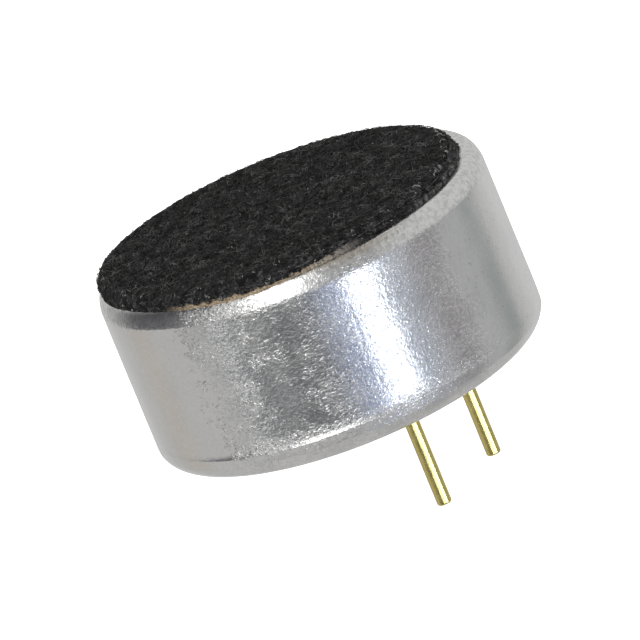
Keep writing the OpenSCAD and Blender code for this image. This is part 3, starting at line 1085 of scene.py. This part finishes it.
def make_pin(node_name, finish):
    low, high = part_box(node_name)
    centre = ((low.x + high.x) / 2, (low.y + high.y) / 2)
    head_r = (high.x - low.x) / 2

    def shape(r, z, a):
        """The shank has flats; the free end is drawn wire that is a little uneven."""
        if r == shank_r:
            flat = math.pi / SHANK_FLATS
            return r * math.cos(flat) / math.cos((a % (2 * flat)) - flat), z
        if z < 0:
            wobble = noise.noise(Vector((2.2 * z / MM, math.cos(a), math.sin(a) + centre[0] / MM)))
            return pressed(r, a) + WIRE_WOBBLE * wobble, z
        return r, z

    profile = [(0, low.z), (0.5 * (pin_r - TIP_R), low.z + TIP_CROWN)]
    profile += arc((pin_r - TIP_R, low.z + TIP_R), TIP_R, -88, 0, 8)
    profile += line(profile[-1], (pin_r, 0), 24)
    profile += [(shank_r, 0), (shank_r, high.z - HEAD_T), (head_r, high.z - HEAD_T)]
    profile += [(head_r, high.z - CHAMFER), (head_r - CHAMFER, high.z), (0, high.z)]
    wire = turned(node_name + "_wire", profile, PIN_SIDES, shape, centre)
    finish_piece(wire, finish, "pin_gold", node_name)


def make_solder(node_name, finish, phase):
    low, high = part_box(node_name)
    centre = ((low.x + high.x) / 2, (low.y + high.y) / 2)
    foot_r = (high.x - low.x) / 2
    leg = foot_r - shank_r

    def lumpy(r, z, a):
        swell = noise.noise(Vector((1.3 * math.cos(a) + phase, 1.3 * math.sin(a), 4.0 * z / MM)))
        return r + SOLDER_SWELL * (r - shank_r) / leg * swell, z

    section = [(shank_r, high.z), (foot_r, high.z), (foot_r, high.z - SOLDER_EDGE)]
    section += arc((foot_r + SOLDER_EDGE, high.z - leg - SOLDER_EDGE), leg, 96, 174, 10)
    section += [(shank_r, low.z)]
    bm = bmesh.new()
    rings = [add_ring(bm, r, z, SOLDER_SIDES, lumpy, centre) for r, z in section]
    for a, b in zip(rings, rings[1:] + rings[:1]):
        bridge(bm, a, b)
    finish_piece(mesh_object(node_name + "_fillet", bm), finish, "tin", node_name)


# Studio

# Soft cards around the can, each laid over those before it. Angles are in degrees: azimuth from the camera
# towards its right, elevation, half width, half height, and how soft the sides and the other two edges are.
Card = namedtuple("Card", "azimuth elevation half_width half_height side_soft edge_soft tone")
ROOM = (0.47, 0.465, 0.455)
CARDS = {
    "floor_right": Card(62, -58, 26, 24, 12, 5, (0.385, 0.385, 0.38)),
    "left_wall": Card(-105, -20, 45, 16, 12, 3, (0.475, 0.47, 0.46)),
    "left_beige": Card(-121, -20, 11, 16, 9, 3, (0.465, 0.44, 0.405)),
    "right_wall": Card(92, -20, 18, 16, 5, 3, (0.40, 0.40, 0.40)),
    "green_flag": Card(111, -20, 8, 16, 5, 3, (0.30, 0.32, 0.31)),
    "far_side": Card(170, -20, 36, 16, 15, 3, (0.58, 0.58, 0.575)),
    "front_flag": Card(1.5, -22, 72, 10, 4, 8, (0.16, 0.165, 0.17)),
    "deep_flag": Card(-20, -22, 16, 10, 14, 8, (0.115, 0.12, 0.125)),
    "left_lamp": Card(-60, -10, 6, 2.5, 5, 2, (2.1, 2.1, 2.1)),
    "rose_flag": Card(64, -21, 12, 14, 7, 6, (0.25, 0.235, 0.24)),
    "strip_glow": Card(40, -21, 14, 14, 9, 3, (0.44, 0.47, 0.53)),
    "strip_blue": Card(13, -21, 12, 14, 9, 3, (0.34, 0.40, 0.58)),
    "strip_halo": Card(26, -20, 10, 13, 9, 3, (0.68, 0.74, 0.88)),
    "strip_light": Card(25, -19, 3, 6, 3, 2, (9.5, 10.0, 10.9)),
    "ceiling": Card(0, 42, 200, 50, 1, 2.5, (0.55, 0.55, 0.54)),
    "dark_left": Card(-101, 42, 36, 52, 26, 2.5, (0.11, 0.11, 0.115)),
    "front_shade": Card(24, 26, 20, 34, 8, 2.5, (0.36, 0.36, 0.355)),
    "beige_front": Card(40, 52, 24, 20, 12, 7, (0.30, 0.28, 0.25)),
    "beige_top": Card(80, 80, 80, 18, 14, 7, (0.31, 0.28, 0.235)),
    "pale_back": Card(190, 58, 22, 22, 10, 5, (0.50, 0.49, 0.47)),
    "key_light": Card(-25, 33, 14, 34, 9, 2.5, (3.0, 3.0, 2.95)),
}
FLOOR_HALF = 3.0
FLOOR_DROP = 0.30


def lay_card(nodes, colour, azimuth, elevation, card):
    """Lay one soft-edged card over the surroundings' colour."""
    inside = []
    for angle, at, half, soft in ((azimuth, card.azimuth, card.half_width, card.side_soft),
                                  (elevation, card.elevation, card.half_height, card.edge_soft)):
        off = nodes.minus(angle, math.radians(at))
        off = nodes.maths("ABSOLUTE", nodes.maths("WRAP", off, math.pi, -math.pi))
        inside.append(nodes.spread(off, math.radians(half + soft), math.radians(max(half - soft, 0))))
    return nodes.mix(nodes.times(*inside), colour, (*card.tone, 1.0))


def make_world():
    """Surroundings that light the can with the cards, and that the camera sees as white."""
    world = bpy.data.worlds.new("studio")
    bpy.context.scene.world = world
    world.use_nodes = True
    nodes = Nodes(world.node_tree)
    direction = nodes.add("ShaderNodeTexCoord").outputs["Generated"]

    def along(axis):
        return nodes.vector_maths("DOT_PRODUCT", direction, axis).outputs["Value"]

    azimuth = nodes.maths("ARCTAN2", along(view_right), along(view_front))
    elevation = nodes.maths("ARCSINE", along(Vector((0, 0, 1))))
    colour = (*ROOM, 1.0)
    for card in CARDS.values():
        colour = lay_card(nodes, colour, azimuth, elevation, card)
    seen = nodes.add("ShaderNodeLightPath").outputs["Is Camera Ray"]
    colour = nodes.mix(seen, colour, (1.0, 1.0, 1.0, 1.0))
    nodes.feed(world.node_tree.nodes["Background"].inputs["Color"], colour)


def make_floor():
    """A white floor far below the can, hidden from its reflections and its light."""
    bm = bmesh.new()
    corners = ((-1, -1), (1, -1), (1, 1), (-1, 1))
    bm.faces.new([bm.verts.new((x * FLOOR_HALF, y * FLOOR_HALF, -FLOOR_DROP)) for x, y in corners])
    floor = mesh_object("floor", bm)
    f = Finish("floor_white")
    f.shade(Base_Color=(0.9, 0.9, 0.9, 1.0), Roughness=0.9, Emission_Color=(1.0, 1.0, 1.0, 1.0),
            Emission_Strength=1.0)
    floor.data.materials.append(f.material)
    floor.visible_glossy = False
    floor.visible_diffuse = False


def make_camera():
    look = -(view_front * math.cos(VIEW_ELEVATION) + Vector((0, 0, math.sin(VIEW_ELEVATION))))
    level_up = view_right.cross(look)
    right = math.cos(VIEW_ROLL) * view_right + math.sin(VIEW_ROLL) * level_up
    up = right.cross(look)
    data = bpy.data.cameras.new("camera")
    data.sensor_width = 36.0
    data.lens = data.sensor_width * VIEW_DISTANCE / FRAME_WIDTH
    data.clip_start = 10 * MM
    camera = bpy.data.objects.new("camera", data)
    spot = AIM - look * VIEW_DISTANCE + right * AIM_SHIFT_RIGHT - up * AIM_SHIFT_DOWN
    camera.matrix_world = Matrix.Translation(spot) @ Matrix((right, up, -look)).transposed().to_4x4()
    bpy.context.collection.objects.link(camera)
    bpy.context.scene.camera = camera
    bpy.context.scene.view_settings.view_transform = "Standard"


make_camera()
make_world()
make_floor()
make_can()
make_felt()
make_fibres()
make_fringe()
make_lint()
pin_finish = gold()
make_pin("ground_pin", pin_finish)
make_pin("output_pin", pin_finish)
solder_finish = mottled(SOLDER)
make_solder("ground_pin_solder", solder_finish, 0.0)
make_solder("output_pin_solder", solder_finish, 5.0)
dress_inner_nodes()
